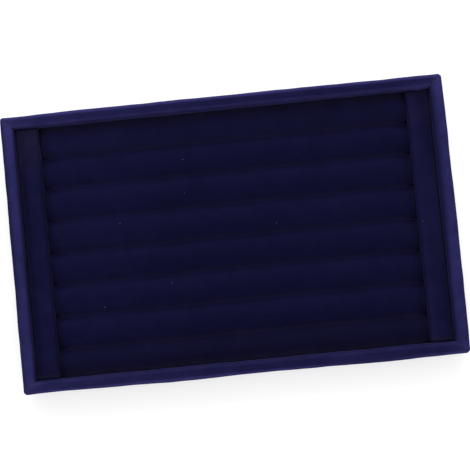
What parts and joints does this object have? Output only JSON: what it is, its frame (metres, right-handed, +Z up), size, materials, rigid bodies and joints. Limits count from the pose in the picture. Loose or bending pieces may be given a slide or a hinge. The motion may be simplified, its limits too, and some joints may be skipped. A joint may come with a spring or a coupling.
{
  "type": "jewelry tray",
  "caption": "Low rectangular velvet-covered tray with a mitred rim and a lift-out insert of padded rolls that grip rings in the slots between them.",
  "frame": {"origin": "middle of the underside, on the table", "axes": "+X along the tray's length and the rolls, +Y from the front rail to the back rail, +Z up out of the open top"},
  "size_m": [0.35, 0.22, 0.03],
  "materials": {
    "rim_velvet": "dark blue short-pile velvet",
    "insert_velvet": "dark blue short-pile velvet, nap brushed flat",
    "backing_felt": "thin dark blue needled felt",
    "mdf": "raw fibreboard strip",
    "hardboard": "raw hardboard",
    "greyboard": "grey bookbinding board",
    "foam": "open-cell upholstery foam"
  },
  "bodies": {
    "tray_shell": {"front_rail": "mdf", "back_rail": "mdf", "left_rail": "mdf", "right_rail": "mdf", "base_board": "hardboard", "base_felt": "backing_felt", "front_rim_velvet": "rim_velvet", "back_rim_velvet": "rim_velvet", "left_rim_velvet": "rim_velvet", "right_rim_velvet": "rim_velvet"},
    "roll_insert": {"insert_card": "greyboard", "roll_foam_1": "foam", "roll_foam_2": "foam", "roll_foam_3": "foam", "roll_foam_4": "foam", "roll_foam_5": "foam", "roll_foam_6": "foam", "roll_foam_7": "foam", "roll_foam_8": "foam", "roll_velvet_1": "insert_velvet", "roll_velvet_2": "insert_velvet", "roll_velvet_3": "insert_velvet", "roll_velvet_4": "insert_velvet", "roll_velvet_5": "insert_velvet", "roll_velvet_6": "insert_velvet", "roll_velvet_7": "insert_velvet", "roll_velvet_8": "insert_velvet", "left_bar_core": "mdf", "right_bar_core": "mdf", "left_bar_velvet": "insert_velvet", "right_bar_velvet": "insert_velvet"}
  },
  "joints": [
    {"name": "insert_lift", "type": "slide", "parent": "tray_shell", "child": "roll_insert", "axis": [0, 0, 1], "range_m": [0, 0.05]}
  ]
}
